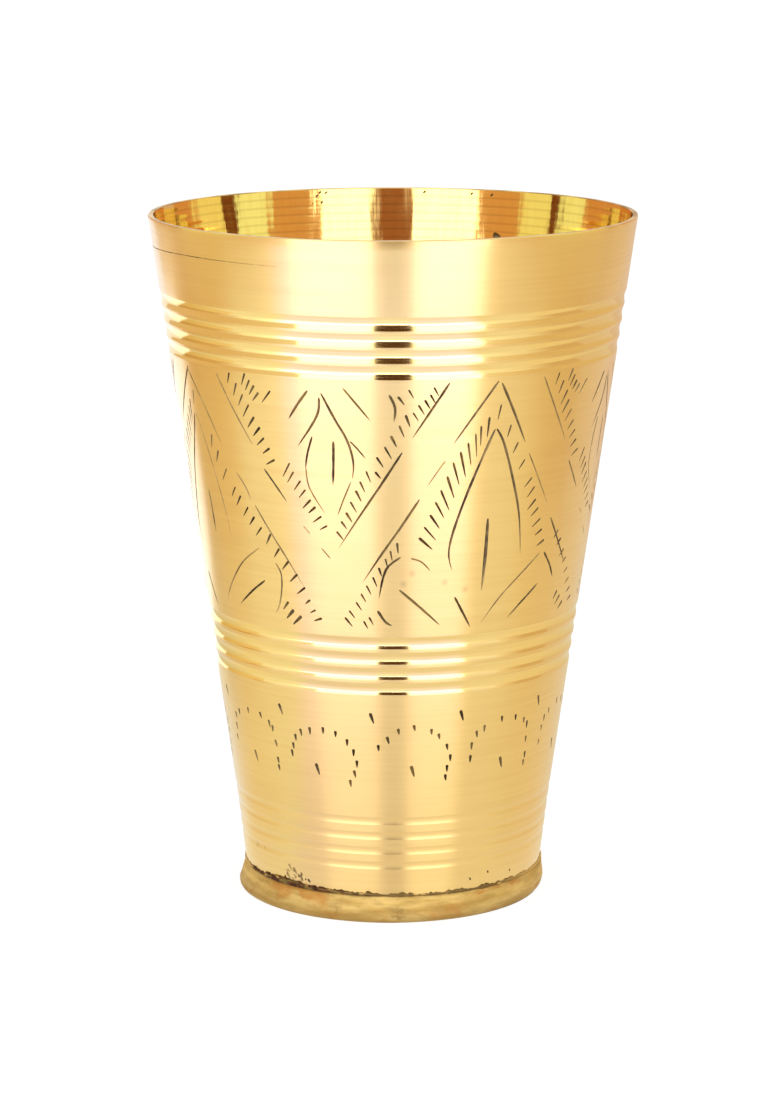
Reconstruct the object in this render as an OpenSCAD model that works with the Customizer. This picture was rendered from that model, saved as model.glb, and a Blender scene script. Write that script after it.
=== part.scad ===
// Flared brass tumbler: a turned wall, hard-soldered onto a thick foot disc.
// Sizes are in millimetres. The wall's axis is Z and the foot stands on z = 0.

/* [Wall] */
// Overall height, from the standing face to the rim
height = 140; // [120:1:160]
// Outer diameter at the rim
rim_d = 99; // [85:0.5:115]
// Outer diameter at the waist, where the wall turns steeper
waist_d = 64.9; // [63:0.1:72]
// Height of the waist above the standing face
waist_z = 20; // [16:0.5:22]
// Outer diameter of the wall's lower edge, on the foot
heel_d = 61.4; // [57:0.1:64]
// Thickness of the wall, measured level
wall_t = 1.1; // [0.9:0.1:1.6]
// Width of the chamfers that ease both edges of the rim
rim_ease = 0.2; // [0.1:0.05:0.3]

/* [Flutes] */
// Distance from the middle of one flute to the next in a band
flute_pitch = 3.2; // [2.6:0.1:3.6]
// Number of flutes in the rim band
rim_flutes = 4; // [1:1:5]
// Width of the flutes in the rim band
rim_flute_w = 2.7; // [1.6:0.1:3]
// Depth of the flutes in the rim band
rim_flute_depth = 0.25; // [0.1:0.05:0.45]
// From the rim down to the first flute of the rim band
rim_band_drop = 16.3; // [12:0.1:22]
// Number of flutes in the middle band
middle_flutes = 4; // [1:1:5]
// Width of the flutes in the middle band
middle_flute_w = 2.5; // [1.6:0.1:3]
// Depth of the flutes in the middle band
middle_flute_depth = 0.25; // [0.1:0.05:0.45]
// Height of the first flute of the middle band
middle_band_z = 59.3; // [50:0.1:70]
// Number of flutes in the foot band
foot_flutes = 4; // [1:1:4]
// Width of the flutes in the foot band
foot_flute_w = 1.6; // [1.2:0.1:2.4]
// Depth of the flutes in the foot band
foot_flute_depth = 0.15; // [0.1:0.05:0.4]
// Height of the first flute of the foot band
foot_band_z = 21.6; // [20:0.2:26]

/* [Foot] */
// Thickness of the disc that the wall stands on
disc_t = 5.5; // [4.5:0.1:7]
// Narrowest part of the ledge that the disc leaves around the wall
ledge_min = 0.4; // [0.35:0.05:2]
// How far the disc was set off the wall's axis
disc_shift = 0.5; // [0:0.1:1]
// How far the disc's flank draws in towards its upper edge
flank_draw = 0.4; // [0:0.1:1]
// Radius of the rounded edge that the disc stands on
standing_edge_r = 0.9; // [0.5:0.1:1.5]
// Chamfer on the upper edge of the disc
disc_ease = 0.15; // [0.1:0.05:0.2]
// Height of the spigot that centres the wall, above the disc
spigot_h = 1.5; // [1:0.1:3]
// Width of the ring that the tumbler stands on
standing_w = 5; // [3:0.5:8]
// Depth of the hollow under the foot
hollow_depth = 3; // [1:0.1:3.5]

/* [Solder seam] */
// Gap between the spigot and the inner face of the wall
spigot_gap = 0.15; // [0.1:0.05:0.3]
// Thickness of the solder under the wall's edge
seam_t = 0.15; // [0.1:0.05:0.3]
// How far the outer fillet spreads over the ledge
fillet_w = 0.2; // [0.15:0.05:0.3]
// How far the outer fillet climbs the wall
fillet_rise = 0.5; // [0.3:0.1:1]

/* [Hidden] */
$fn = 96;
brass = [0.87, 0.68, 0.31];
dull_brass = [0.78, 0.60, 0.28];
dark_solder = [0.30, 0.21, 0.11];

heel_z = disc_t + seam_t;
floor_z = disc_t + spigot_h;
ledge_r = heel_d / 2 + ledge_min + disc_shift;
disc_r = ledge_r + flank_draw;
hollow_r = disc_r - standing_edge_r - standing_w;
edge_steps = 8;
cut_over = 1;

// Outer radius of the wall at height z
function outer_r(z) = lookup(z, [
    [heel_z, heel_d / 2],
    [waist_z, waist_d / 2],
    [height, rim_d / 2]
]);

// Inner radius of the wall at height z
function inner_r(z) = outer_r(z) - wall_t;

// Radius of the spigot at height z, clear of the wall's inner face
function spigot_r(z) = inner_r(z) - spigot_gap;

// Lean of the wall's face from upright at height z, in degrees
function lean(z) = z < waist_z
    ? atan2((waist_d - heel_d) / 2, waist_z - heel_z)
    : atan2((rim_d - waist_d) / 2, height - waist_z);

// Half-section of the wall before its flutes are cut
module wall_outline() {
    polygon([
        [inner_r(heel_z), heel_z],
        [outer_r(heel_z), heel_z],
        [outer_r(waist_z), waist_z],
        [outer_r(height - rim_ease), height - rim_ease],
        [outer_r(height) - rim_ease, height],
        [inner_r(height) + rim_ease, height],
        [inner_r(height - rim_ease), height - rim_ease],
        [inner_r(waist_z), waist_z]
    ]);
}

// One round flute, as the circle that cuts it, square to the wall's face
module flute(z, w, depth) {
    radius = w * w / (8 * depth) + depth / 2;
    translate([outer_r(z), z])
        rotate(-lean(z))
            translate([radius - depth, 0])
                circle(r = radius);
}

// A band of flutes, from the first one at first_z down the wall
module flute_band(first_z, count, w, depth) {
    for (i = [0 : count - 1])
        flute(first_z - flute_pitch * i, w, depth);
}

// The turned wall, open at both ends
module wall() {
    color(brass)
        rotate_extrude()
            difference() {
                wall_outline();
                flute_band(height - rim_band_drop, rim_flutes, rim_flute_w, rim_flute_depth);
                flute_band(middle_band_z, middle_flutes, middle_flute_w, middle_flute_depth);
                flute_band(foot_band_z, foot_flutes, foot_flute_w, foot_flute_depth);
            }
}

// Half-section of the disc, rounded where it stands, drawn in up its flank and eased at its upper edge
module disc_outline() {
    polygon([
        [0, 0],
        for (i = [0 : edge_steps])
            let (a = -90 + 90 * i / edge_steps)
                [disc_r + standing_edge_r * (cos(a) - 1), standing_edge_r * (1 + sin(a))],
        [ledge_r, disc_t - disc_ease],
        [ledge_r - disc_ease, disc_t],
        [0, disc_t]
    ]);
}

// Half-section of the spigot, which tapers with the wall and starts inside the disc
module spigot_outline() {
    polygon([
        [0, 0],
        [spigot_r(heel_z), 0],
        [spigot_r(heel_z), disc_t],
        [spigot_r(floor_z), floor_z],
        [0, floor_z]
    ]);
}

// The foot: a disc set a little off the axis, with a spigot on the axis and a hollow underneath
module foot() {
    color(dull_brass)
        difference() {
            union() {
                translate([-disc_shift, 0, 0])
                    rotate_extrude()
                        disc_outline();
                rotate_extrude()
                    spigot_outline();
            }
            translate([-disc_shift, 0, -cut_over])
                cylinder(r = hollow_r, h = hollow_depth + cut_over);
        }
}

// Hard solder in the joint: around the spigot, under the wall's edge and up its outer face
module solder_seam() {
    color(dark_solder)
        rotate_extrude()
            polygon([
                [spigot_r(heel_z), disc_t],
                [outer_r(heel_z) + fillet_w, disc_t],
                [outer_r(heel_z + fillet_rise), heel_z + fillet_rise],
                [outer_r(heel_z), heel_z],
                [inner_r(heel_z), heel_z],
                [inner_r(floor_z), floor_z],
                [spigot_r(floor_z), floor_z]
            ]);
}

wall();
foot();
solder_seam();
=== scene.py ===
import functools
import math
import random

import bmesh
import bpy
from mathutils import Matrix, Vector, noise


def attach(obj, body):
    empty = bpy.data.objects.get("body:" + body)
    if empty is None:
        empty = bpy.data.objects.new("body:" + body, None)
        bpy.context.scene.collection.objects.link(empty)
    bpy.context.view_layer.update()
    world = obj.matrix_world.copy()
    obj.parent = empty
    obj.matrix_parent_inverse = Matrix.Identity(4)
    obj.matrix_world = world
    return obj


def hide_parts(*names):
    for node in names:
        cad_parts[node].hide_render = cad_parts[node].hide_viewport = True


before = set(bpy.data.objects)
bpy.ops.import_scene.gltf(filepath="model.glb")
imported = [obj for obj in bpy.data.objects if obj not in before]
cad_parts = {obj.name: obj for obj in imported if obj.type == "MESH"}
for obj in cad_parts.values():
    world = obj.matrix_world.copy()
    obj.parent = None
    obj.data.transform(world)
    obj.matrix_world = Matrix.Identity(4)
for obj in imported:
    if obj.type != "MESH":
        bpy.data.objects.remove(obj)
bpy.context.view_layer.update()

# Lengths below are in millimetres and angles in degrees, unless a comment says otherwise.
# Angle 0 on the wall faces the viewer, and angles grow to the viewer's right.
MM = 0.001

# The turned wall. What lies above LIP_Z is its lip.
RIM_Z = 140.0
RIM_R = 49.5
WAIST_Z = 20.0
WAIST_R = 32.45
HEEL_Z = 5.65
HEEL_R = 30.7
WALL_T = 1.1
LIP_Z = 139.7
LIP_ROUND_OUT = 0.25
LIP_ROUND_IN = 0.15
LIP_STEPS = 4
WALL_SEGMENTS = 200

# Heights of the rows of faces on the wall between its flutes, and inside from the rim down
PLAIN_ROWS = (8, 10, *range(26, 48, 4), *range(62, 112, 5), *range(126, 139, 4))
INSIDE_ROWS = (*range(136, 20, -4), WAIST_Z, 14, 9, HEEL_Z)

# The mouth mirrors as if its slope were so much greater, which sets in between two heights
MOUTH_FLARE = 0.05
MOUTH_FLARE_FROM = 105
MOUTH_FLARE_FULL = 125

# Bands of flutes: height of the first flute, width and depth of each
FLUTE_PITCH = 3.2
FLUTES_IN_BAND = 4
FLUTE_BANDS = ((123.7, 2.7, 0.25), (59.3, 2.5, 0.25), (21.6, 1.6, 0.15))
FLUTE_EDGE_SOFTNESS = 0.12

# The flutes above this height are buffed, over this share of their width to each side of the middle
BUFFED_FROM_Z = 25
BUFFED_SHARE = 0.46

# How far a flute's soft edge reaches and where its rows of faces lie, in half-widths from its middle
FLUTE_REACH = 1.5
FLUTE_ROWS = (-1.15, -1.05, -0.96, -0.85, -0.6, -0.3, 0.0, 0.3, 0.6, 0.85, 0.96, 1.05, 1.15)

# How a cut swells, as (share of its length, share of its width): heavy at the head or even
STROKE_SWELL = ((0.03, 0.7), (0.16, 1.0), (0.5, 0.85), (0.82, 0.5))
TICK_SWELL = ((0.08, 0.85), (0.4, 1.0), (0.9, 0.8))
DROP_SWELL = ((0.05, 0.75), (0.22, 1.0), (0.55, 0.8), (0.85, 0.45))

# The graver is widest so far above the wall's face, and its upper edge is so much higher
CUT_LIFT = 0.04
CUT_TOP = 0.4

# Room round a cut that others in its batch leave free, as (angle, height)
CUT_MARGIN = (0.8, 0.6)

# Three kinds of arch in the low band: number of ticks, angle of the tick beside the arch, and a curve
# through (angle from the arch's middle, height)
ARCHES = (
    (12, -12.5, (
        (-9.1, 34.6), (-8.1, 37.3), (-5, 39.3), (1.7, 40.1),
        (8.7, 39.5), (13.5, 36.2), (14.2, 33), (12.1, 29.4))),
    (10, -13.1, (
        (-10.8, 37.1), (-7.1, 39.5), (-2.1, 41.2), (5.9, 40.7),
        (9.3, 39.2), (12.6, 36), (12.6, 33.1), (11.3, 30.5))),
    (11, -16.6, (
        (-12.4, 34.2), (-11.4, 38), (-8.6, 40.1), (0.8, 41.5),
        (8.7, 40.2), (11.1, 38.8), (12, 33.6), (12, 30.6))),
)

# The kind of each arch round the wall, the angle of the first, and the arch that the hand set nearer to
# the next
ARCH_ORDER = (1, 2, 2, 0, 1, 2, 0, 1, 0, 2, 0)
FIRST_ARCH = 6.4
CROWDED_ARCH = 9
CROWDED_SHIFT = 4.8
TICK_DEPTH = 0.42

# Small faults of the wall, as (angle, height)
SOLDER_PITS = ((-42.8, 9.9), (-40.6, 9.4), (-44.2, 7.9), (-37.6, 8))
FOOT_SPECKS = ((-57, 12), (38, 9), (30, 8.2), (50, 8))
RIM_SPECKS = (
    (153.7, 139.2), (159.2, 139.3), (171.6, 139.4), (197, 139.4),
    (198.6, 139.5), (199.4, 138.8), (198.2, 137.4), (200.6, 137.2),
)

# The foot and the solder seam
DISC_T = 5.5
DISC_R = 32.0
DISC_SHIFT = 0.5
DISC_EDGE_R = 0.9
FLANK_DRAW = 0.4
LEDGE_EDGE_R = 0.6
EDGE_STEPS = 5
FLANK_ROWS = 10
FLOOR_Z = 7.0
HOLLOW_R = 26.1
HOLLOW_DEPTH = 3.0
SPIGOT_GAP = 0.15
FOOT_SEGMENTS = 400

# What was filed off the foot by hand: from its upper edge in front, from its lower part at the left, and
# from its lower edge at the right, where the left keeps a burr
FILED_TOP = 0.7
FILED_LEFT = 0.5
FILED_RIGHT = 0.6
BURR_LEFT = 0.3
LOWER_EDGE_Z = 1.8

# Rough skin of the foot, as (height, features per metre), which is smooth towards the standing face
FOOT_SKIN = ((0.24, 130), (0.12, 320), (0.05, 800))
LEDGE_SKIN = (0.08, 420)
FULL_SKIN_Z = 1.5

# The solder bead: points of its face, as (out from the heel, up from the disc), how far it climbs the
# wall, and the angle and spread of its heaviest part
BEAD_FACE = ((0.3, -0.05), (0.28, 0.2), (0.16, 0.45))
BEAD_RISE = 0.5
HEAVY_BEAD_AT = -43
HEAVY_BEAD_SPREAD = 17

# Colours of the brass: brushed, darker and buffed
BRASS = (0.92, 0.64, 0.225, 1)
WARM_BRASS = (0.87, 0.575, 0.19, 1)
BUFFED_BRASS = (0.94, 0.7, 0.29, 1)

# The camera, in metres, degrees and millimetres of focal length
CAMERA_AT = (-0.0006, -0.7372, 0.2208)
CAMERA_PITCH = 11.6
CAMERA_LENS = 118.66

# The floor's glow, the world's light on matt things, and the softboxes, in metres: name, azimuth, width
FLOOR_GLOW = 0.87
WORLD_LIGHT = 0.6
SOFTBOXES = (("softbox_left", -28.7, 0.42), ("softbox_right", 26.8, 0.36))
SOFTBOX_DISTANCE = 0.6
SOFTBOX_LOW = 0.005
SOFTBOX_HIGH = 0.5
SOFTBOX_RADIANCE = 1.95

# The board round the object, in metres: its height, its inner and outer edge, and the distances between
# which its near part fades into the middle one, and that into the far one
TABLE_Z = 0.0015
TABLE_EDGES = (0.035, 0.58)
TABLE_STEPS = 48
NEAR_FADE = (0.085, 0.16)
FAR_FADE = (0.24, 0.33)

# How bright the board's painted lamp light is, as (azimuth, level): near the object, where it is dimmer in
# front as painted shadow, between, and far from it. TABLE_BEHIND is its level straight behind the object,
# and TABLE_TOP the level at which a ramp is white.
TABLE_NEAR = (
    (-150, 0.9), (-100, 0.95), (-62, 0.95), (-50, 0.92), (44, 0.92), (56, 0.92),
    (100, 0.9), (130, 0.82), (172, 0.75),
)
TABLE_MIDDLE = (
    (-137, 0.76), (-120, 0.78), (-105, 0.86), (-88, 1.0), (-70, 1.05), (-60, 1.12),
    (-51, 1.2), (-10.5, 1.2), (-8, 1.15), (8, 1.15), (10.5, 1.2), (35, 1.2),
    (43.2, 0.98), (60, 0.96), (80, 0.94), (120, 0.84), (172, 0.75),
)
TABLE_FAR = (
    (-130, 0.72), (-118, 0.74), (-105, 0.86), (-88, 1.05), (-70, 1.25), (-60, 1.6),
    (-51, 2.6), (-10.5, 2.6), (-7, 4.0), (7, 4.0), (10.5, 2.6), (37, 2.6),
    (44, 1.3), (60, 1.0), (80, 0.88), (120, 0.8), (172, 0.75),
)
TABLE_BEHIND = 0.8
TABLE_TOP = 4.5

# Tints of the board between two azimuths, and those of its near, middle and far part to both sides in front
TABLE_TINTS = (
    (-138, -95, (1, 0.92, 0.64)), (-94, -80, (1, 0.99, 0.84)), (-72, -53, (0.98, 1, 0.9)),
    (-9, 9, (0.96, 1.02, 1.2)), (43, 61, (1, 0.97, 0.85)), (62, 174, (1, 0.89, 0.64)),
)
TABLE_FRONT = ((-52, -10), (10, 42))
TABLE_FRONT_TINTS = ((0.98, 0.95, 1.12), (1, 0.95, 1.45), (1, 0.85, 1.52))

# A bright field at the board's back left, which sets in between two places along X and Y, in metres
BACK_LEFT_X = (0.0, -0.06)
BACK_LEFT_Y = (0.166, 0.176)
BACK_LEFT_LEVEL = 1.4

# Upright glowing cards whose colours are painted reflections in the brass: name, both ends on the floor,
# lower and upper edge in metres, and colour. A second colour is that of the other end, to which the card
# fades.
CARDS = (
    ("camera_gap", (-0.054, -0.36), (0.054, -0.36), 0.0, 0.2, (0.09, 0.038, 0.012)),
    ("camera_glow", (-0.054, -0.36), (0.054, -0.36), 0.2, 0.5, (0.36, 0.14, 0.06)),
    ("side_left_low", (-0.22, -0.02), (-0.22, 0.167), 0.0, 0.045, (0.97, 0.81, 0.5), (0.74, 0.55, 0.22)),
    ("side_left_front", (-0.22, -0.06), (-0.22, 0.01), 0.04, 0.11, (1.0, 0.98, 0.88), (0.74, 0.52, 0.28)),
    ("side_left_high", (-0.22, 0.01), (-0.22, 0.167), 0.045, 0.11, (0.74, 0.52, 0.28), (0.6, 0.39, 0.14)),
    ("side_right_front", (0.22, -0.11), (0.22, -0.03), 0.02, 0.11, (1.0, 0.95, 0.8), (0.73, 0.55, 0.35)),
    ("side_right", (0.22, -0.03), (0.22, 0.05), 0.02, 0.11, (0.73, 0.55, 0.35)),
    ("side_right_back", (0.22, 0.05), (0.22, 0.28), 0.0, 0.11, (0.8, 0.68, 0.54)),
    ("back_right", (0.03, 0.3), (0.4, 0.3), 0.0, 0.2, (0.75, 0.58, 0.42)),
    ("flute_right_front", (0.12, -0.135), (0.12, -0.05), 0.1, 0.145, (1.0, 0.92, 0.75), (0.78, 0.62, 0.4)),
    ("flute_right", (0.12, -0.05), (0.12, 0.12), 0.1, 0.145, (0.78, 0.62, 0.4)),
    ("flute_left_front", (-0.12, -0.135), (-0.12, -0.03), 0.1, 0.145, (1.0, 0.94, 0.76), (0.8, 0.61, 0.38)),
    ("flute_left", (-0.12, -0.03), (-0.12, 0.12), 0.1, 0.145, (0.8, 0.61, 0.38)),
    ("amber_right", (0.209, -0.236), (0.285, -0.0975), 0.157, 0.25, (0.75, 0.42, 0.18)),
    ("amber_left", (-0.233, -0.213), (-0.292, -0.078), 0.157, 0.25, (0.75, 0.42, 0.18)),
    ("lemon_right", (0.22, -0.075), (0.22, 0.02), 0.12, 0.5, (1.05, 1.22, 0.8)),
    ("lemon_left", (-0.22, -0.06), (-0.22, 0.02), 0.12, 0.5, (1.0, 1.04, 0.56)),
    ("strip_right", (0.13, 0.022), (0.13, 0.045), 0.13, 0.175, (0.19, 0.05, 0.01)),
    ("strip_left", (-0.13, 0.022), (-0.13, 0.045), 0.13, 0.175, (0.19, 0.05, 0.01)),
    ("yellow_right", (0.22, 0.02), (0.22, 0.15), 0.12, 0.5, (1.0, 0.97, 0.48)),
    ("yellow_left", (-0.22, 0.02), (-0.22, 0.12), 0.12, 0.5, (1.02, 1.16, 0.7)),
    ("orange_right", (0.22, 0.15), (0.22, 1.0), 0.12, 0.5, (0.72, 0.36, 0.14)),
    ("orange_left", (-0.22, 0.12), (-0.22, 1.0), 0.12, 0.5, (0.72, 0.36, 0.14)),
)

# Brown freckles on the wall and stains on the foot, as (middle, radius)
FRECKLES = (
    ((3.7, -39.9, 73.7), 0.9), ((10.1, -38.5, 71.7), 0.9), ((14.1, -36.9, 70), 0.9),
    ((2, -39.7, 71.6), 0.9), ((20.9, -30.1, 49.5), 0.9), ((-27.8, -14.6, 11.6), 0.9),
)
FOOT_STAINS = (((-11.8, -30.4, 2.4), 2.4), ((1.2, -32.2, 1.4), 3.2))

# The turning tool's rings inside, 1.75 mm apart, and the heights between which the inside turns dull
RING_SCALE = 179.5
DULL_FROM_Z = 126
DULL_FULL_Z = 95

# The lip is bright behind the first of these places along Y, and tarnished in front of the second
BRIGHT_LIP_Y = 47.5
TARNISHED_LIP_Y = 45.5

rng = random.Random(7)


def lerp(a, b, t):
    return a + (b - a) * t


def clamp(t):
    return max(0.0, min(1.0, t))


def jog(amount):
    return rng.uniform(-amount, amount)


def cone_radius(z):
    """Radius of the wall's face without its flutes."""
    if z < WAIST_Z:
        return lerp(HEEL_R, WAIST_R, (z - HEEL_Z) / (WAIST_Z - HEEL_Z))
    return lerp(WAIST_R, RIM_R, (z - WAIST_Z) / (RIM_Z - WAIST_Z))


def inner_radius(z):
    """Radius of the wall's inner face."""
    return cone_radius(z) - WALL_T


def spigot_radius(z):
    """Radius of the foot's spigot, clear of the wall's inner face."""
    return inner_radius(z) - SPIGOT_GAP


def flutes():
    """Every flute as its middle height, width and depth."""
    for first_z, width, depth in FLUTE_BANDS:
        for i in range(FLUTES_IN_BAND):
            yield first_z - FLUTE_PITCH * i, width, depth


def outer_radius(z):
    """Radius of the wall's face with its flutes, whose edges are polished round."""
    cut = 0.0
    for middle, width, depth in flutes():
        u = 2 * (z - middle) / width
        if abs(u) < FLUTE_REACH:
            x = 1 - u * u
            cut += depth * 0.5 * (x + math.hypot(x, FLUTE_EDGE_SOFTNESS))
    return cone_radius(z) - cut


def in_buffed_flute(z):
    """Whether a height lies in a flute of the upper two bands, which are deep and buffed bright."""
    in_flute = any(abs(z - middle) < BUFFED_SHARE * width for middle, width, _ in flutes())
    return in_flute and z > BUFFED_FROM_Z


@functools.lru_cache(maxsize=None)
def slope(radius, z):
    """Rise of a radius with height."""
    step = 0.02
    return (radius(z + step) - radius(z - step)) / (2 * step)


def outer_heights():
    """Heights of the rows of the wall's face: close together in the flutes, wide apart between them."""
    rows = {HEEL_Z, WAIST_Z, *PLAIN_ROWS}
    for middle, width, _ in flutes():
        rows.update(middle + u * width / 2 for u in FLUTE_ROWS)
    return sorted(rows)


def arc(centre, radius, first, last, steps):
    """Points of a rounded edge in a half-section, from the first angle to the last."""
    angles = [math.radians(lerp(first, last, i / steps)) for i in range(steps + 1)]
    return [(centre[0] + radius * math.cos(a), centre[1] + radius * math.sin(a)) for a in angles]


def wall_section():
    """Half-section of the wall as (radius, height), from its heel up the face and down the inside."""
    face = [(outer_radius(z), z) for z in outer_heights()]
    outer_edge = (RIM_R - LIP_ROUND_OUT, RIM_Z - LIP_ROUND_OUT)
    inner_edge = (RIM_R - WALL_T + LIP_ROUND_IN, RIM_Z - LIP_ROUND_IN)
    lip = arc(outer_edge, LIP_ROUND_OUT, 0, 90, LIP_STEPS)
    lip += arc(inner_edge, LIP_ROUND_IN, 90, 180, LIP_STEPS)
    inside = [(inner_radius(z), z) for z in INSIDE_ROWS]
    return face + lip + inside


def turn(bm, section, segments, closed=True):
    """Turn a half-section about Z into a solid."""
    verts = [bm.verts.new((r * MM, 0, z * MM)) for r, z in section]
    pairs = list(zip(verts, verts[1:]))
    if closed:
        pairs.append((verts[-1], verts[0]))
    edges = [bm.edges.new(pair) for pair in pairs]
    bmesh.ops.spin(
        bm, geom=verts + edges, cent=(0, 0, 0), axis=(0, 0, 1),
        angle=2 * math.pi, steps=segments, use_merge=True,
    )
    bmesh.ops.remove_doubles(bm, verts=bm.verts, dist=1e-7)
    bmesh.ops.recalc_face_normals(bm, faces=bm.faces)


def object_from(bm, name):
    mesh = bpy.data.meshes.new(name)
    bm.to_mesh(mesh)
    bm.free()
    obj = bpy.data.objects.new(name, mesh)
    bpy.context.scene.collection.objects.link(obj)
    return obj


# Engraving

def face_point(angle, z, inside=False):
    """Point of the wall's outer or inner face."""
    a = math.radians(angle)
    r = inner_radius(z) if inside else cone_radius(z)
    return Vector((r * math.sin(a), -r * math.cos(a), z))


def face_normal(angle, z, inside=False):
    """Direction out of the wall's outer or inner face."""
    a = math.radians(angle)
    normal = Vector((math.sin(a), -math.cos(a), -slope(cone_radius, round(z, 2)))).normalized()
    return -normal if inside else normal


def along(path, t):
    """Point of a smooth curve through the path's (angle, height) points, at t from 0 to 1."""
    spans = len(path) - 1
    i = min(int(t * spans), spans - 1)
    f = t * spans - i
    p = [Vector(path[max(0, min(spans, k))]) for k in (i - 1, i, i + 1, i + 2)]
    return 0.5 * (
        2 * p[1] + (p[2] - p[0]) * f + (2 * p[0] - 5 * p[1] + 4 * p[2] - p[3]) * f ** 2
        + (3 * p[1] - p[0] - 3 * p[2] + p[3]) * f ** 3
    )


class Cut:
    """One stroke of the graver: where it runs, how wide and deep it is, and how it swells on the way.

    A worn stroke has lost most of its dark grime.
    """

    def __init__(self, path, width, depth, swell=STROKE_SWELL, inside=False, worn=False):
        self.path = path
        self.width = width
        self.depth = depth
        self.swell = swell
        self.inside = inside
        self.worn = worn
        angles = [p[0] for p in path]
        heights = [p[1] for p in path]
        self.low = (min(angles) - CUT_MARGIN[0], min(heights) - CUT_MARGIN[1])
        self.high = (max(angles) + CUT_MARGIN[0], max(heights) + CUT_MARGIN[1])

    def turned(self, angle):
        path = [(a + angle, z) for a, z in self.path]
        return Cut(path, self.width, self.depth, self.swell, self.inside, self.worn)

    def clear_of(self, other):
        return any(self.high[i] < other.low[i] or other.high[i] < self.low[i] for i in (0, 1))

    def add_to(self, bm):
        """Bend a four-sided spindle along the stroke, with its lower edge under the wall's face."""
        rings = ((0, 0), *self.swell, (1, 0))
        spans = len(rings) - 1
        step = 0.02
        made = bmesh.ops.create_uvsphere(bm, u_segments=4, v_segments=spans, radius=1)
        for face in {face for vert in made["verts"] for face in vert.link_faces}:
            face.material_index = int(self.worn)
        for vert in made["verts"]:
            x, y, z = vert.co
            t, size = rings[round(math.acos(max(-1, min(1, z))) / math.pi * spans)]
            reach = math.hypot(x, y)
            if reach > 1e-4:
                x, y = x / reach * size, y / reach * size
            angle, height = along(self.path, t)
            ahead = face_point(*along(self.path, min(1, t + step)), self.inside)
            behind = face_point(*along(self.path, max(0, t - step)), self.inside)
            normal = face_normal(angle, height, self.inside)
            side = normal.cross(ahead - behind).normalized()
            lift = CUT_LIFT + y * (CUT_TOP if y > 0 else self.depth + CUT_LIFT)
            spot = face_point(angle, height, self.inside)
            vert.co = (spot + side * x * self.width / 2 + normal * lift) * MM


def stroke(head, reach, width=0.56, depth=0.32):
    """One short stroke with a heavy head, laid by hand."""
    head = (head[0] + jog(0.25), head[1] + jog(0.2))
    stretch = 1.12 + jog(0.12)
    tail = (head[0] + reach[0] * stretch, head[1] + reach[1] * stretch)
    return Cut((head, tail), width * (1 + jog(0.2)), depth * (1 + jog(0.15)))


def hatch(first, last, count, first_reach, last_reach, width=0.56):
    """A row of short strokes, from one head to the last, turning on the way."""
    cuts = []
    for i in range(count):
        t = i / (count - 1)
        head = (lerp(first[0], last[0], t), lerp(first[1], last[1], t))
        reach = (lerp(first_reach[0], last_reach[0], t), lerp(first_reach[1], last_reach[1], t))
        cuts.append(stroke(head, reach, width))
    return cuts


def line(*path, width=0.58, depth=0.26, worn=False):
    """A long line that sets in firmly, wavers in the hand and lifts out slowly."""
    count = 4 * (len(path) - 1) + 1
    swell = []
    for i in range(count):
        t = lerp(0.015, 0.97, i / (count - 1))
        set_in = min(1, 0.5 + 5 * t)
        lift_out = min(1, 3 * (1 - t)) ** 0.6
        swell.append((t, set_in * lift_out * (0.9 + jog(0.1))))
    return Cut([(a + jog(0.15), z + jog(0.1)) for a, z in path], width, depth, swell, worn=worn)


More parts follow.
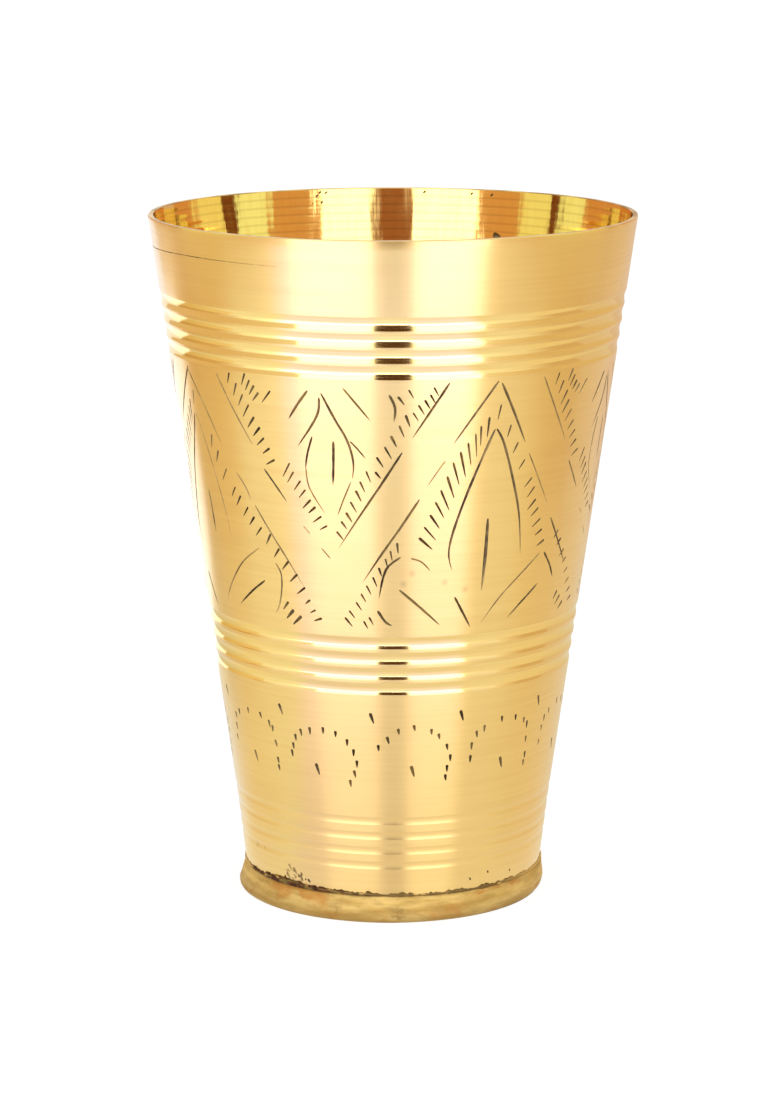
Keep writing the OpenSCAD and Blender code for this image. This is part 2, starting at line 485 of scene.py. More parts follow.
def hanging_triangle():
    """The triangle that hangs from the rim band, and the bud in it."""
    cuts = [
        line((-49.7, 111.9), (-44.8, 105.3), (-38.5, 97.5), width=0.5, depth=0.18, worn=True),
        line((-35.9, 93.7), (-32.7, 90.5), (-29.3, 87.2), width=0.54, depth=0.22),
        line((-25, 82.7), (-22.9, 81.1), width=0.42, depth=0.15, worn=True),
        line((-20, 78.5), (-17.4, 76.2), width=0.42, depth=0.15, worn=True),
        line((13.8, 112), (10.1, 107.4), (4.6, 100.8), width=0.66, depth=0.26),
        line((2.4, 98.4), (-2.1, 92.9), (-6.2, 88.4), (-15.5, 78), width=0.62, depth=0.25),
        line((-21.5, 110.3), (-24.2, 107.5), (-27.3, 104.1), width=0.74),
        line((-18.5, 109), (-18.9, 106.3), (-21, 103.2), (-25.3, 98.7), width=0.72),
        line((-17.9, 110), (-14.6, 104.8), (-11.6, 100.6), (-10.4, 96.4), (-10.6, 92.8), width=0.72),
        line((-11, 100.6), (-9.2, 99), (-7, 96.9), width=0.5, depth=0.18),
        line((-12.5, 111), (-9.3, 108), (-5.6, 104.6), width=0.56),
        line((-21, 101), (-22.6, 97.6), (-23.2, 94.6), width=0.64),
        line((-23.2, 95), (-22.6, 90.6), (-18, 85.2), width=0.44, depth=0.16, worn=True),
        line((-10.9, 92.4), (-13.4, 88.4), (-15, 85), width=0.42, depth=0.15, worn=True),
        line((-15.4, 100.4), (-15.6, 96), (-15.8, 91.4), width=0.76),
        line((-1, 109.8), (0.5, 107.2), (0.2, 104.4), width=0.76),
        stroke((-31.8, 109.8), (-2.8, -2.5)),
        stroke((-4.8, 94.6), (1.4, -1.3)),
    ]
    cuts += hatch((-44.5, 112.3), (-42.5, 110.5), 2, (-1, -2.1), (-1.5, -2.7), width=0.48)
    cuts += hatch((-39.3, 112.5), (-35.3, 109), 4, (-1.3, -2.2), (-1.9, -1.6))
    cuts += hatch((-40.5, 108.3), (-32, 95.8), 7, (-2, -2.6), (-2.7, -1.1))
    cuts += hatch((-28, 95.3), (-18, 83.3), 8, (-2.1, -2.6), (-2.4, -1.0))
    cuts += hatch((1.3, 109.6), (3.8, 111), 2, (1.6, -1.6), (1.2, -1.7))
    cuts += hatch((10.2, 111.2), (5, 106.5), 5, (1.2, -1.7), (1.5, -1.8), width=0.5)
    cuts += hatch((3.2, 106), (-4, 97.5), 5, (1.2, -2.5), (1.7, -2))
    cuts += hatch((-7, 94.8), (-15.6, 82), 7, (1.2, -2.3), (1.6, -1.5))
    return cuts


def standing_left_half():
    """The left half of the triangle that stands on the middle band, with a small leaf by the tall one."""
    cuts = [
        line((26.7, 111.9), (21.5, 106.4), (15.4, 99.5), width=0.66, depth=0.26),
        line((13.5, 96.6), (11.5, 94.3), (8.7, 91.2), width=0.42, depth=0.15, worn=True),
        line((7.1, 88.9), (2.2, 83.4), (-3.1, 77.7), (-8.9, 71.5), width=0.64, depth=0.25),
        line((26.6, 102.3), (24.6, 98.4), (20, 90), (16.8, 82.4), (15.5, 77.6), (16.9, 73.8), width=0.7),
        line((17.9, 68.6), (20.4, 65.4), (23.3, 62), width=0.66),
        line((2.1, 77.2), (-2, 74.4), (-4.2, 68.4), width=0.64),
        line((4.8, 76.9), (8, 76), (10.7, 74.1), width=0.5, depth=0.18, worn=True),
        line((1.8, 70.5), (7.6, 66.8), (14, 62.8), width=0.66),
        line((-4.4, 66.1), (-2.4, 63.8), (-0.2, 63), width=0.72),
        stroke((27.9, 107.2), (-0.7, -3)),
    ]
    cuts += hatch((24.6, 105), (15.7, 96.3), 6, (-0.3, -3.9), (2, -4.8))
    cuts += hatch((13.9, 93.3), (7, 80.9), 6, (2, -4.2), (3.5, -2.3), width=0.6)
    cuts += hatch((1.2, 80.2), (-14.3, 64.4), 10, (0.3, -1.9), (1.9, -1.6), width=0.5)
    cuts += hatch((-8.4, 63.7), (-6.9, 64.8), 2, (1.1, -1.4), (1.2, -1.6))
    return cuts


def standing_right_half():
    """The right half of that triangle, with the vein of the tall leaf."""
    cuts = [
        line((27.6, 111.6), (31.4, 106), (36.2, 98.8), width=0.7, depth=0.28),
        line((37.7, 96.7), (42.5, 90.6), (47.3, 85.1), width=0.44, depth=0.16, worn=True),
        line((49, 82.4), (53.9, 77.5), (59.1, 72), width=0.58, depth=0.23),
        line((27.2, 102.3), (29.6, 99.4), (33.4, 91.8), (36.6, 84), (38.4, 75.2), width=0.7),
        line((26.4, 84.2), (26.4, 77), (26.2, 69.2), width=0.95, depth=0.32),
        line((46.2, 75.6), (40, 72.2), (32.4, 67.8), (26.2, 62.2), width=0.5, depth=0.18, worn=True),
        line((48, 75.4), (51.4, 72.5), (53.6, 69.5), width=0.66),
        line((46.8, 69.2), (40.6, 65.8), (35.6, 63), width=0.62),
    ]
    cuts += hatch((31.4, 103), (39.6, 91.6), 4, (-0.8, -2.2), (-2.3, -1.7), width=0.5)
    cuts += hatch((41, 89.4), (47.2, 78.2), 6, (-2.4, -2), (-2.8, -0.9))
    cuts += hatch((53.7, 79.6), (68.2, 64), 8, (-1.6, -1.4), (-2.5, -0.7))
    cuts += hatch((57.4, 66.4), (61.8, 63.8), 3, (-1.8, -1.7), (-2.7, -1.4), width=0.7)
    return cuts


def wider_right_half():
    """The right half of the triangle at the viewer's left, which the hand set out wider."""
    cuts = [
        line((26.3, 111.2), (30.3, 107), (34.9, 102.1), (39, 96.9), width=0.5, depth=0.2),
        line((43.6, 92.2), (46.5, 89.4), (48.5, 86.6), width=0.44, depth=0.16, worn=True),
        line((49.6, 85.8), (54.3, 80.4), (58.4, 76.3), (64.5, 69.5), width=0.5, depth=0.2, worn=True),
        line(
            (27.2, 102.3), (29.6, 99.4), (33.4, 91.8), (36.6, 84), (38.4, 75.9),
            width=0.44, depth=0.15, worn=True),
        line((28.8, 86.8), (29.3, 82.8), (29.5, 77.8), width=0.7),
        line(
            (49.6, 77.1), (42.4, 73.7), (37.3, 70.2), (33.1, 66.4), (31, 63.6),
            width=0.48, depth=0.18, worn=True),
        line((50.3, 70.5), (44.7, 67.6), (38.1, 64.2), width=0.56),
        line(
            (54.9, 74.5), (56.6, 72.2), (56.2, 68.7), (54.6, 65.6), (53, 63.9),
            width=0.5, depth=0.2, worn=True),
    ]
    cuts += hatch((34.7, 98.9), (39.6, 92.3), 3, (-0.8, -2.4), (-2.2, -2.4), width=0.5)
    cuts += hatch((42.5, 89), (50.9, 81.6), 5, (-1.9, -2.1), (-2.4, -1.9))
    cuts += hatch((54.3, 80.3), (64.4, 70), 5, (-1.7, -2), (-2.6, -1.4))
    cuts += hatch((65.6, 67.4), (68.6, 63.9), 3, (-1.6, -0.9), (-2.3, -0.6))
    cuts += hatch((57.9, 66.6), (62.1, 63.9), 3, (-2.1, -1.8), (-2.7, -1.7), width=0.72)
    return cuts


def zigzag_band():
    """The tall engraved band: both triangles, four times round the wall."""
    cuts = []
    for angle in (0, 90, 180, -90):
        right_half = wider_right_half if angle == -90 else standing_right_half
        pair = hanging_triangle() + standing_left_half() + right_half()
        cuts += [cut.turned(angle) for cut in pair]
    return cuts


def tick(head, tail, width):
    """One tick of the chisel, deep and shaped like a drop."""
    return Cut((head, tail), width, TICK_DEPTH, DROP_SWELL)


def scallop_band():
    """The low engraved band: arches of chiselled ticks, with one tick in each and one beside it."""
    cuts = []
    for k, kind in enumerate(ARCH_ORDER):
        ticks, beside, path = ARCHES[kind]
        middle = FIRST_ARCH + 360 / len(ARCH_ORDER) * k + (CROWDED_SHIFT if k == CROWDED_ARCH else 0)
        for i in range(ticks):
            angle, z = along(path, i / (ticks - 1))
            head = (middle + angle - 0.2 + jog(0.3), z + 0.75 + jog(0.2))
            tail = (head[0] + 0.3 + jog(0.4), head[1] - 1.5 + jog(0.2))
            cuts.append(tick(head, tail, 0.7))
        low = 33.4 + jog(0.4)
        cuts.append(tick((middle - 0.4, low), (middle + 0.8, low - 2.5), 0.8))
        lone = middle + beside
        cuts.append(tick((lone - 0.6, 44.7), (lone + 0.6, 42.3), 0.78))
    return cuts


def slips_and_pits():
    """A scriber's slip, specks and a pit near the rim, a nick lower down, and pits over the foot."""
    cuts = [line((-98, 133.8), (-77, 134), (-55, 134.5), (-25, 134.4), width=0.22, depth=0.09, worn=True)]
    for angle, z in SOLDER_PITS:
        end = (angle + 1.7 + jog(0.3), z - 1.3 + jog(0.3))
        cuts.append(Cut(((angle, z), end), 0.95, 0.2, DROP_SWELL, worn=True))
    for _ in range(12):
        angle = rng.gauss(-39, 4)
        z = rng.uniform(7, 9.2)
        end = (angle + jog(1.3), z - rng.uniform(0.2, 0.8))
        width = rng.uniform(0.35, 0.65)
        cuts.append(Cut(((angle, z), end), width, 0.22, TICK_SWELL, worn=rng.random() < 0.6))
    for angle, z in FOOT_SPECKS:
        cuts.append(Cut(((angle, z), (angle + 0.5, z - 0.6)), 0.45, 0.22, TICK_SWELL))
    for angle, z in RIM_SPECKS:
        cuts.append(Cut(((angle, z), (angle + 0.6, z - 0.5)), 0.55, 0.2, TICK_SWELL, inside=True))
    cuts.append(Cut(((152.9, 130.6), (150.6, 130.3)), 1.4, 0.4, DROP_SWELL, inside=True))
    cuts.append(Cut(((-5.6, 56.3), (-6.6, 55)), 0.5, 0.2, TICK_SWELL))
    return cuts


def batches(cuts):
    """Share the cuts out so that no two in one batch touch."""
    shared = []
    for cut in cuts:
        for batch in shared:
            if all(cut.clear_of(other) for other in batch):
                batch.append(cut)
                break
        else:
            shared.append([cut])
    return shared


def subtract(obj, tool):
    """Cut a tool out of a piece. The new faces keep the tool's material."""
    modifier = obj.modifiers.new("cut", "BOOLEAN")
    modifier.operation = "DIFFERENCE"
    modifier.solver = "MANIFOLD"
    modifier.material_mode = "TRANSFER"
    modifier.object = tool
    carved = bpy.data.meshes.new_from_object(obj.evaluated_get(bpy.context.evaluated_depsgraph_get()))
    obj.modifiers.remove(modifier)
    plain = obj.data
    obj.data = carved
    bpy.data.meshes.remove(plain)


def engrave(obj, cuts, patinas):
    for batch in batches(cuts):
        bm = bmesh.new()
        for cut in batch:
            cut.add_to(bm)
        bmesh.ops.recalc_face_normals(bm, faces=bm.faces)
        tool = object_from(bm, "graver")
        for patina in patinas:
            tool.data.materials.append(patina)
        subtract(obj, tool)
        bpy.data.objects.remove(tool)


def shade_wall(mesh, patina_indices):
    """Give the wall the normals of its true turned shape, so that reflections run clean past the cuts."""
    normals = []
    for face in mesh.polygons:
        face.use_smooth = True
        for index in face.loop_indices:
            vert = mesh.vertices[mesh.loops[index].vertex_index]
            x, y, z = vert.co
            out = Vector((x, y, 0)).normalized()
            lip = z > LIP_Z * MM
            level = abs(face.normal.z) > 0.9 and not lip
            if level or face.material_index in patina_indices:
                normals.append(face.normal.copy())
            elif lip:
                normals.append(vert.normal.copy())
            elif face.normal.dot(out) > 0:
                out.z = -slope(outer_radius, round(z / MM, 3))
                normals.append(out.normalized())
            else:
                flare = clamp((z / MM - MOUTH_FLARE_FROM) / (MOUTH_FLARE_FULL - MOUTH_FLARE_FROM))
                out.z = -slope(cone_radius, round(z / MM, 3)) - MOUTH_FLARE * flare
                normals.append(-out.normalized())
    mesh.normals_split_custom_set(normals)


# Materials

class Nodes:
    """A node tree that is written one node at a time."""

    def __init__(self, tree):
        self.tree = tree

    def add(self, kind, inputs=None, **settings):
        """A node with its settings. Each input takes a value or another node's output."""
        made = self.tree.nodes.new("ShaderNode" + kind)
        for name, value in settings.items():
            setattr(made, name, value)
        for name, value in (inputs or {}).items():
            self.feed(made.inputs[name], value)
        return made

    def feed(self, socket, value):
        if isinstance(value, bpy.types.NodeSocket):
            self.tree.links.new(value, socket)
        else:
            socket.default_value = value

    def math(self, operation, first, second=0.0):
        return self.add("Math", {0: first, 1: second}, operation=operation).outputs[0]

    def mix(self, factor, first, second):
        return self.add("Mix", {0: factor, 6: first, 7: second}, data_type="RGBA").outputs[2]

    def spread(self, field, low, high, first=0.0, last=1.0):
        """Stretch the part of a field between low and high, and cut off the rest."""
        names = {"Value": field, "From Min": low, "From Max": high, "To Min": first, "To Max": last}
        return self.add("MapRange", names).outputs["Result"]

    def place(self):
        return self.add("TexCoord").outputs["Object"]

    def axis(self, name):
        """Place along one axis."""
        return self.add("SeparateXYZ", {0: self.place()}).outputs[name]

    def noise(self, per_metre, detail=2.0, offset=(0, 0, 0)):
        """Noise with so many features per metre along each axis."""
        spot = self.add("Mapping", {"Vector": self.place(), "Scale": per_metre, "Location": offset})
        return self.add("TexNoise", {"Vector": spot.outputs[0], "Scale": 1.0, "Detail": detail}).outputs[0]

    def spots(self, places):
        """Round spots that fade out at their radius, from (middle, radius) pairs in millimetres."""
        found = 0.0
        for middle, radius in places:
            ends = {0: self.place(), 1: [c * MM for c in middle]}
            gap = self.add("VectorMath", ends, operation="DISTANCE").outputs["Value"]
            found = self.math("MAXIMUM", found, self.spread(gap, radius * MM, radius * MM * 0.2))
        return found

    def bump(self, field, distance, under=None):
        inputs = {"Height": field, "Distance": distance, "Strength": 1.0}
        if under is not None:
            inputs["Normal"] = under
        return self.add("Bump", inputs).outputs[0]


def new_material(name, **inputs):
    """A material with a principled shader, and its nodes."""
    material = bpy.data.materials.new(name)
    material.use_nodes = True
    nodes = Nodes(material.node_tree)
    shader = material.node_tree.nodes["Principled BSDF"]
    for socket, value in inputs.items():
        nodes.feed(shader.inputs[socket.replace("_", " ")], value)
    return material, nodes, shader


def brushed_brass():
    """Brass brushed round with fine grit under clear lacquer, so that highlights stretch up and down."""
    material, nodes, shader = new_material(
        "brushed_brass", Metallic=1, Anisotropic=0.95, Anisotropic_Rotation=0.25,
        Coat_Weight=1, Coat_Roughness=0.2,
    )
    fine = nodes.noise((30, 30, 5000), 3)
    coarse = nodes.noise((24, 24, 1600), 3, (3, 1, 2))
    cloudy = nodes.noise((55, 55, 90), 3, (1, 5, 4))
    worn = nodes.math("ADD", nodes.math("MULTIPLY", coarse, 0.6), nodes.math("MULTIPLY", cloudy, 0.5))
    colour = nodes.mix(nodes.spread(worn, 0.48, 0.85), BRASS, WARM_BRASS)
    freckles = nodes.math("MULTIPLY", nodes.spots(FRECKLES), 0.4)
    colour = nodes.mix(freckles, colour, (0.45, 0.28, 0.08, 1))
    nodes.feed(shader.inputs["Base Color"], colour)
    nodes.feed(shader.inputs["Roughness"], nodes.spread(coarse, 0.25, 0.75, 0.29, 0.34))
    low = nodes.spread(nodes.axis("Z"), 0.032, 0.02, 0.06, 1.0)
    ripple = nodes.math("MULTIPLY", nodes.noise((26, 26, 520), 2, (7, 2, 1)), low)
    normal = nodes.bump(ripple, 2.5e-5)
    nodes.feed(shader.inputs["Normal"], nodes.bump(fine, 3e-6, normal))
    tangent = nodes.add("Tangent", direction_type="RADIAL", axis="Z")
    nodes.feed(shader.inputs["Tangent"], tangent.outputs[0])
    return material


def polished_brass():
    """Brass that the form tool and the buff left almost like a mirror, in the flutes."""
    material, nodes, shader = new_material("polished_brass", Metallic=1)
    streaks = nodes.noise((30, 30, 4000), 2)
    nodes.feed(shader.inputs["Base Color"], nodes.mix(nodes.spread(streaks, 0.4, 0.8), BUFFED_BRASS, BRASS))
    nodes.feed(shader.inputs["Roughness"], nodes.spread(streaks, 0.3, 0.7, 0.07, 0.13))
    nodes.feed(shader.inputs["Normal"], nodes.bump(streaks, 1e-6))
    return material


def turned_brass():
    """Brass with the turning tool's rings and chatter across them: bright at the rim, dull deep inside."""
    material, nodes, shader = new_material("turned_brass")
    wobble = {"Distortion": 0.5, "Detail": 1.0, "Detail Scale": 0.3}
    bands = {"Vector": nodes.place(), "Scale": RING_SCALE, **wobble}
    rings = nodes.add("TexWave", bands, bands_direction="Z").outputs["Fac"]
    chatter = nodes.noise((800, 800, 30), 3)
    ripple = nodes.noise((130, 130, 18), 2, (3, 2, 1))
    clean = nodes.mix(nodes.spread(chatter, 0.35, 0.75), BRASS, WARM_BRASS)
    # Painted shade darkens the grooves of the turning rings
    groove_shade = nodes.spread(rings, 0.3, 0.0, 0.0, 0.45)
    nodes.feed(shader.inputs["Base Color"], nodes.mix(groove_shade, clean, (0.6, 0.4, 0.12, 1)))
    deep = nodes.spread(nodes.axis("Z"), DULL_FROM_Z * MM, DULL_FULL_Z * MM)
    bright = nodes.spread(chatter, 0.3, 0.7, 0.06, 0.12)
    nodes.feed(shader.inputs["Roughness"], nodes.math("ADD", bright, nodes.math("MULTIPLY", deep, 0.25)))
    nodes.feed(shader.inputs["Metallic"], nodes.spread(deep, 0.0, 1.0, 1.0, 0.65))
    normal = nodes.bump(ripple, 2.2e-4)
    normal = nodes.bump(rings, 1.5e-5, normal)
    nodes.feed(shader.inputs["Normal"], nodes.bump(chatter, 1.2e-5, normal))
    return material


def tarnished_lip():
    """The lip's top and inner edge, where the buff didn't reach: patches of brown tarnish."""
    material, nodes, shader = new_material("tarnished_lip", Metallic=1)
    patches = nodes.noise((130, 130, 130), 3)
    in_front = nodes.spread(nodes.axis("Y"), BRIGHT_LIP_Y * MM, TARNISHED_LIP_Y * MM)
    tarnish = nodes.math("MULTIPLY", nodes.spread(patches, 0.35, 0.6), in_front)
    colour = nodes.mix(tarnish, (0.86, 0.6, 0.22, 1), (0.42, 0.25, 0.075, 1))
    nodes.feed(shader.inputs["Base Color"], colour)
    nodes.feed(shader.inputs["Roughness"], nodes.spread(patches, 0.3, 0.7, 0.22, 0.42))
    return material


def patina(name, dark, light, bare_share):
    """Brown grime that stays in the cuts and is rubbed out of them here and there."""
    material, nodes, shader = new_material(name, Metallic=0.4)
    grime = nodes.noise((700, 700, 700), 3)
    rubbed = nodes.spread(nodes.noise((140, 140, 140), 2, (5, 3, 1)), 0.42, 0.68, 0.0, bare_share)
    colour = nodes.mix(nodes.spread(grime, 0.45, 0.8), dark, light)
    nodes.feed(shader.inputs["Base Color"], nodes.mix(rubbed, colour, (0.6, 0.42, 0.15, 1)))
    nodes.feed(shader.inputs["Roughness"], nodes.spread(grime, 0.3, 0.7, 0.65, 0.42))
    nodes.feed(shader.inputs["Normal"], nodes.bump(grime, 2e-5))
    return material


def patinas():
    """The grime of deep cuts and of worn ones."""
    return (
        patina("engraved_patina", (0.065, 0.042, 0.014, 1), (0.26, 0.165, 0.055, 1), 0.45),
        patina("worn_patina", (0.2, 0.13, 0.045, 1), (0.38, 0.25, 0.085, 1), 0.8),
    )


def cast_brass():
    """Cast brass, filed round and scoured dull, with smears, brown stains, a darker upper edge and painted
    shade at its lower edge.
    """
    material, nodes, shader = new_material("cast_brass", Metallic=0.65)
    grain = nodes.noise((1800, 1800, 1800), 3)
    smear = nodes.noise((90, 90, 700), 4, (2, 2, 5))
    mottle = nodes.noise((260, 260, 820), 4, (1, 4, 2))
    rust = nodes.noise((170, 170, 280), 4, (6, 1, 3))
    colour = nodes.mix(nodes.spread(smear, 0.38, 0.64), (0.74, 0.52, 0.175, 1), (0.56, 0.35, 0.085, 1))
    colour = nodes.mix(nodes.spread(mottle, 0.46, 0.68, 0.0, 0.6), colour, (0.45, 0.29, 0.08, 1))
    colour = nodes.mix(nodes.spread(rust, 0.54, 0.68, 0.0, 0.75), colour, (0.56, 0.25, 0.045, 1))
    stain = nodes.math("MULTIPLY", nodes.spots(FOOT_STAINS), nodes.spread(grain, 0.2, 0.6, 0.0, 0.8))
    uneven = nodes.math("ADD", nodes.axis("Z"), nodes.math("MULTIPLY", mottle, 0.002))
    # Painted shade towards the lower edge, a darker band towards the upper edge and the stains share one
    # dark brown
    low_painted_shade = nodes.spread(uneven, 0.0042, 0.001, 0.0, 0.55)
    top_darkening = nodes.spread(uneven, 0.0056, 0.0066, 0.0, 0.275)
    stains_and_shade = nodes.math("MAXIMUM", nodes.math("MAXIMUM", low_painted_shade, top_darkening), stain)
    nodes.feed(shader.inputs["Base Color"], nodes.mix(stains_and_shade, colour, (0.27, 0.165, 0.05, 1)))
    nodes.feed(shader.inputs["Roughness"], nodes.spread(smear, 0.3, 0.7, 0.58, 0.78))
    normal = nodes.bump(mottle, 1.2e-4)
    normal = nodes.bump(smear, 7e-5, normal)
    nodes.feed(shader.inputs["Normal"], nodes.bump(grain, 3e-5, normal))
    return material


def dark_solder():
    """Solder that the torch left dark maroon and olive, with brass wiped through here and there."""
    material, nodes, shader = new_material("dark_solder", Metallic=0.75)
    crust = nodes.noise((1100, 1100, 1100), 3)
    streak = nodes.noise((300, 300, 1500), 3, (4, 1, 3))
    wiped = nodes.noise((520, 520, 900), 2, (2, 5, 3))
    colour = nodes.mix(nodes.spread(crust, 0.4, 0.72), (0.06, 0.019, 0.006, 1), (0.19, 0.08, 0.022, 1))
    colour = nodes.mix(nodes.spread(streak, 0.54, 0.66), colour, (0.24, 0.16, 0.04, 1))
    across = nodes.axis("X")
    colour = nodes.mix(nodes.spread(across, -0.014, 0.0, 0.0, 0.65), colour, (0.27, 0.18, 0.055, 1))
    right_end = nodes.spread(across, 0.021, 0.029)
    left_end = nodes.spread(across, -0.0285, -0.0297)
    ends = nodes.math("MAXIMUM", right_end, left_end)
    bare = nodes.math("MAXIMUM", nodes.spread(wiped, 0.6, 0.68), ends)
    nodes.feed(shader.inputs["Base Color"], nodes.mix(bare, colour, (0.66, 0.44, 0.14, 1)))
    nodes.feed(shader.inputs["Roughness"], nodes.spread(crust, 0.3, 0.7, 0.75, 0.5))
    nodes.feed(shader.inputs["Normal"], nodes.bump(crust, 1e-4))
    return material


# Pieces

def make_wall():
    grime = patinas()
    finishes = (brushed_brass(), turned_brass(), polished_brass(), tarnished_lip())
    _, turned, polished, tarnished = range(len(finishes))
    bm = bmesh.new()
    turn(bm, wall_section(), WALL_SEGMENTS)
    for face in bm.faces:
        centre = face.calc_center_median()
        if centre.z > LIP_Z * MM and math.hypot(centre.x, centre.y) < (RIM_R - LIP_ROUND_OUT) * MM:
            face.material_index = tarnished
        elif face.normal.dot(Vector((centre.x, centre.y, 0))) < 0:
            face.material_index = turned
        elif in_buffed_flute(centre.z / MM):
            face.material_index = polished
    wall = object_from(bm, "engraved_wall")
    for material in finishes:
        wall.data.materials.append(material)
    engrave(wall, zigzag_band() + scallop_band() + slips_and_pits(), grime)
    shade_wall(wall.data, [wall.data.materials.find(material.name) for material in grime])
    return wall


def foot_section():
    """Half-section of the foot as (radius, height), from its floor out and round to the hollow."""
    floor_r = spigot_radius(FLOOR_Z)
    ledge_r = DISC_R - FLANK_DRAW
    ledge_z = DISC_T - LEDGE_EDGE_R
    section = [(0, FLOOR_Z), (floor_r * 0.5, FLOOR_Z), (floor_r, FLOOR_Z), (spigot_radius(HEEL_Z), DISC_T)]
    section += arc((ledge_r - LEDGE_EDGE_R, ledge_z), LEDGE_EDGE_R, 90, 0, EDGE_STEPS)
    for i in range(1, FLANK_ROWS):
        t = i / FLANK_ROWS
        section.append((lerp(ledge_r, DISC_R, t), lerp(ledge_z, DISC_EDGE_R, t)))
    section += arc((DISC_R - DISC_EDGE_R, DISC_EDGE_R), DISC_EDGE_R, 0, -90, EDGE_STEPS)
    return section + [(HOLLOW_R, 0), (HOLLOW_R, HOLLOW_DEPTH), (0, HOLLOW_DEPTH)]


def roughen_foot(bm):
    """Set the disc off the axis, file it by hand, most at the left, and roughen its skin."""
    ledge_size, ledge_per_metre = LEDGE_SKIN
    for vert in bm.verts:
        x, y, z = vert.co / MM
        r = math.hypot(x, y)
        if z > DISC_T + 0.01 or (z > DISC_T - 0.01 and r < HEEL_R - WALL_T):
            continue
        if z > 0.01 and r > HOLLOW_R + 0.1:
            filed = FILED_TOP * (1 - x / r) * z / DISC_T
            filed += (FILED_RIGHT if x > 0 else BURR_LEFT) * x / r * max(0, 1 - z / LOWER_EDGE_Z)
            filed += FILED_LEFT * max(0, -x / r) * (1 - z / DISC_T)
            skin = min(1, z / FULL_SKIN_Z)
            swell = sum(size * noise.noise(vert.co * per_metre) for size, per_metre in FOOT_SKIN)
            grow = 1 + (swell * skin - filed) / r
            vert.co.x *= grow
            vert.co.y *= grow
            lumps = noise.noise(vert.co * ledge_per_metre + Vector((3, 1, 2)))
            vert.co.z += ledge_size * MM * skin * lumps
        vert.co.x -= DISC_SHIFT * MM


def make_foot():
    bm = bmesh.new()
    turn(bm, foot_section(), FOOT_SEGMENTS, closed=False)
    floor_faces = [f for f in bm.faces if f.calc_center_median().z > (DISC_T + 0.1) * MM]
    for face in floor_faces:
        face.material_index = 1
    roughen_foot(bm)
    for face in bm.faces:
        face.smooth = abs(face.normal.z) < 0.98
    foot = object_from(bm, "cast_foot")
    foot.data.materials.append(cast_brass())
    foot.data.materials.append(bpy.data.materials["turned_brass"])
    return foot


def bead_size(angle):
    """How big the solder bead is round the wall: heaviest at the viewer's left."""
    a = math.radians(angle)
    spot = Vector((math.sin(a), -math.cos(a), 0))
    heavy = math.exp(-((angle - HEAVY_BEAD_AT) / HEAVY_BEAD_SPREAD) ** 2)
    return max(0.4, 0.75 + 0.9 * heavy + 0.6 * noise.noise(spot * 9) + 0.8 * noise.noise(spot * 45))


def make_seam():
    bm = bmesh.new()
    top = HEEL_Z + BEAD_RISE
    section = [(spigot_radius(HEEL_Z), DISC_T)]
    section += [(HEEL_R + out, DISC_T + up) for out, up in BEAD_FACE]
    section += [
        (cone_radius(top) + 0.01, top), (HEEL_R, HEEL_Z), (inner_radius(HEEL_Z), HEEL_Z),
        (inner_radius(FLOOR_Z), FLOOR_Z), (spigot_radius(FLOOR_Z), FLOOR_Z),
    ]
    turn(bm, section, FOOT_SEGMENTS)
    for vert in bm.verts:
        r = math.hypot(vert.co.x, vert.co.y) / MM
        z = vert.co.z / MM
        if r < HEEL_R + 0.005:
            continue
        size = bead_size(math.degrees(math.atan2(vert.co.x, -vert.co.y)))
        z = DISC_T + (z - DISC_T) * size
        out = cone_radius(max(z, HEEL_Z)) + max(0.02, (r - HEEL_R) * min(1.3, size))
        vert.co.x *= out / r
        vert.co.y *= out / r
        vert.co.z = z * MM
    for face in bm.faces:
        face.smooth = True
    seam = object_from(bm, "solder_bead")
    seam.data.materials.append(dark_solder())
    return seam


# Stage

def seen_directly(nodes):
    """1 for rays of the camera, mirrors and glass, and 0 for the light that surfaces gather."""
    path = nodes.add("LightPath").outputs
    mirrored = nodes.math("MAXIMUM", path["Is Glossy Ray"], path["Is Transmission Ray"])
    return nodes.math("MAXIMUM", path["Is Camera Ray"], mirrored)


def add_floor():
    """A pale floor that reads as white and keeps a soft shadow."""
    bm = bmesh.new()
    bmesh.ops.create_grid(bm, x_segments=1, y_segments=1, size=6)
    floor = object_from(bm, "floor")
    material, nodes, shader = new_material("pale_floor", Roughness=0.9, Emission_Color=(1, 1, 1, 1))
    direct = seen_directly(nodes)
    nodes.feed(shader.inputs["Base Color"], nodes.mix(direct, (0.85, 0.85, 0.85, 1), (0.2, 0.2, 0.2, 1)))
    nodes.feed(shader.inputs["Emission Strength"], nodes.math("MULTIPLY", direct, FLOOR_GLOW))
    floor.data.materials.append(material)


def add_world():
    world = bpy.data.worlds.new("studio")
    world.use_nodes = True
    nodes = Nodes(world.node_tree)
    background = world.node_tree.nodes["Background"]
    background.inputs["Color"].default_value = (1, 1, 1, 1)
    nodes.feed(background.inputs["Strength"], nodes.spread(seen_directly(nodes), 0, 1, WORLD_LIGHT, 1.0))
    bpy.context.scene.world = world


def add_softbox(name, azimuth, width):
    """A soft lamp that stands on the floor and faces the object."""
    tall = SOFTBOX_HIGH - SOFTBOX_LOW
    data = bpy.data.lights.new(name, "AREA")
    data.shape = "RECTANGLE"
    data.size = width
    data.size_y = tall
    data.energy = SOFTBOX_RADIANCE * math.pi * width * tall
    lamp = bpy.data.objects.new(name, data)
    a = math.radians(azimuth)
    middle_z = (SOFTBOX_LOW + SOFTBOX_HIGH) / 2
    lamp.location = (SOFTBOX_DISTANCE * math.sin(a), -SOFTBOX_DISTANCE * math.cos(a), middle_z)
    lamp.rotation_euler = (math.radians(90), 0, a)
    lamp.visible_camera = False
    bpy.context.scene.collection.objects.link(lamp)


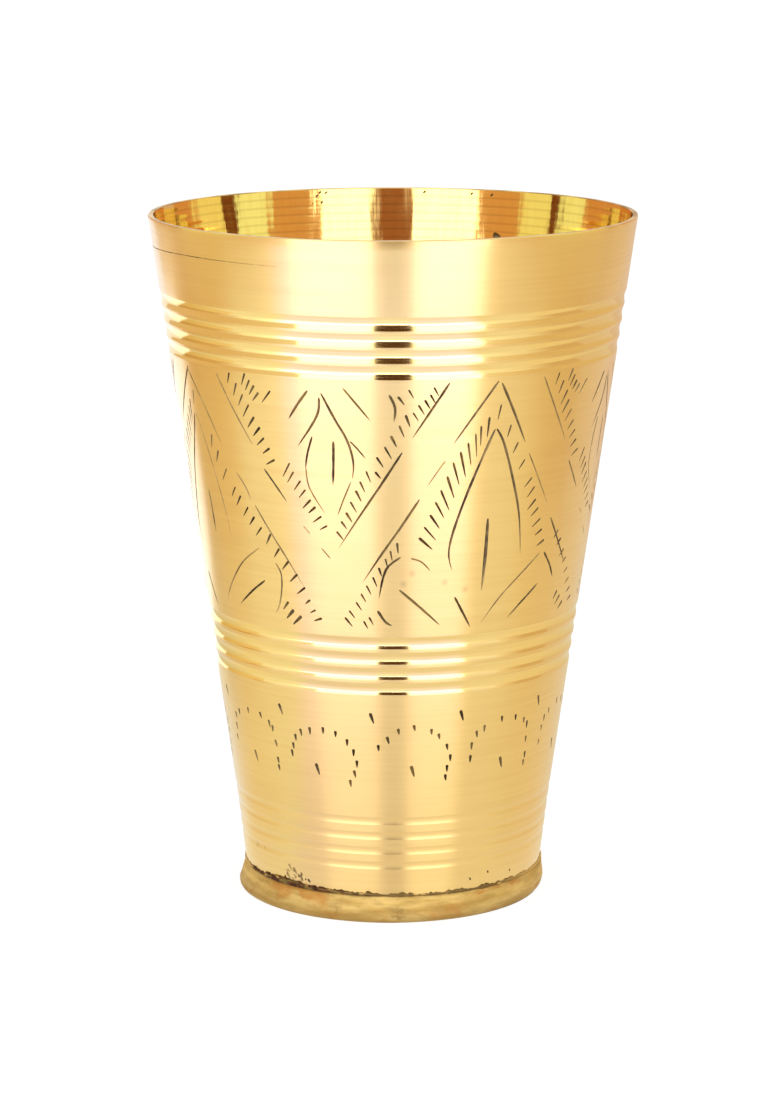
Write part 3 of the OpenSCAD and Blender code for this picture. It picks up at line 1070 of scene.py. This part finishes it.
def stage_card(card, colour_from, strength=1.0):
    """Let a card glow, for the brass alone to mirror: it is left out of the picture and casts no shadow."""
    material = bpy.data.materials.new(card.name)
    material.use_nodes = True
    nodes = Nodes(material.node_tree)
    glow = nodes.add("Emission", {"Color": colour_from(nodes), "Strength": strength})
    nodes.feed(material.node_tree.nodes["Material Output"].inputs["Surface"], glow.outputs[0])
    card.data.materials.append(material)
    card.visible_camera = False
    card.visible_diffuse = False
    card.visible_shadow = False


def paint_colour(nodes):
    """Colour that a card's corners were painted with."""
    return nodes.add("Attribute", attribute_name="paint").outputs["Color"]


def add_standing_card(name, start, end, low, high, colour, end_colour=None):
    """An upright glowing card between two places on the floor, a painted reflection for the brass to
    mirror.
    """
    bm = bmesh.new()
    paint = bm.verts.layers.float_color.new("paint")
    first = (start, colour)
    last = (end, end_colour or colour)
    corners = []
    for (spot, shade), height in ((first, low), (last, low), (last, high), (first, high)):
        corner = bm.verts.new((*spot, height))
        corner[paint] = (*shade, 1)
        corners.append(corner)
    bm.faces.new(corners)
    stage_card(object_from(bm, name), paint_colour)


def table_tint(angle, front_tint):
    """Tint of the board's painted light: cool in front, warm at the sides and white elsewhere."""
    if any(first <= angle <= last for first, last in TABLE_FRONT):
        return front_tint
    for first, last, tint in TABLE_TINTS:
        if first <= angle <= last:
            return tint
    return (1, 1, 1)


def level_ramp(nodes, azimuth, levels, front_tint):
    """Brightness round the object, from (azimuth, level) pairs."""
    ramp = nodes.add("ValToRGB", {"Fac": nodes.spread(azimuth, -math.pi, math.pi)})
    stops = ramp.color_ramp.elements
    for angle, level in ((-180, TABLE_BEHIND), *levels, (180, TABLE_BEHIND)):
        stop = stops.new(angle / 360 + 0.5)
        stop.color = (*(level / TABLE_TOP * share for share in table_tint(angle, front_tint)), 1)
    return ramp.outputs["Color"]


def table_colour(nodes):
    """Light on the board as a share of TABLE_TOP, by azimuth and distance from the object."""
    x = nodes.axis("X")
    y = nodes.axis("Y")
    azimuth = nodes.math("ARCTAN2", x, nodes.math("MULTIPLY", y, -1.0))
    reach = nodes.add("VectorMath", {0: nodes.place()}, operation="LENGTH").outputs["Value"]
    rings = zip((TABLE_NEAR, TABLE_MIDDLE, TABLE_FAR), TABLE_FRONT_TINTS)
    near, middle, far = (level_ramp(nodes, azimuth, levels, front_tint) for levels, front_tint in rings)
    colour = nodes.mix(nodes.spread(reach, *NEAR_FADE), near, middle)
    colour = nodes.mix(nodes.spread(reach, *FAR_FADE), colour, far)
    back_left = nodes.math("MULTIPLY", nodes.spread(x, *BACK_LEFT_X), nodes.spread(y, *BACK_LEFT_Y))
    share = BACK_LEFT_LEVEL / TABLE_TOP
    return nodes.mix(back_left, colour, (share, share, share, 1))


def add_table():
    """A white board on the floor round the object that glows with painted lamp light, brightest in front.
    """
    bm = bmesh.new()
    ends = [bm.verts.new((0, -distance, TABLE_Z)) for distance in TABLE_EDGES]
    edge = bm.edges.new(ends)
    bmesh.ops.spin(
        bm, geom=[*ends, edge], cent=(0, 0, 0), axis=(0, 0, 1),
        angle=2 * math.pi, steps=TABLE_STEPS, use_merge=True,
    )
    stage_card(object_from(bm, "table"), table_colour, TABLE_TOP)


def add_camera():
    data = bpy.data.cameras.new("camera")
    data.lens = CAMERA_LENS
    data.sensor_width = 36
    data.clip_end = 20
    camera = bpy.data.objects.new("camera", data)
    camera.location = CAMERA_AT
    camera.rotation_euler = (math.radians(90 - CAMERA_PITCH), 0, 0)
    bpy.context.scene.collection.objects.link(camera)
    bpy.context.scene.camera = camera


def add_lights():
    for softbox in SOFTBOXES:
        add_softbox(*softbox)
    add_table()
    for card in CARDS:
        add_standing_card(*card)


bpy.context.scene.view_settings.view_transform = "Standard"
add_camera()
add_world()
add_floor()
add_lights()

wall = make_wall()
foot = make_foot()
seam = make_seam()
for piece, node, slot in (
    (wall, "wall", "wall_brass"), (foot, "foot", "foot_brass"), (seam, "solder_seam", "hard_solder"),
):
    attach(piece, "root")
    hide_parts(node)
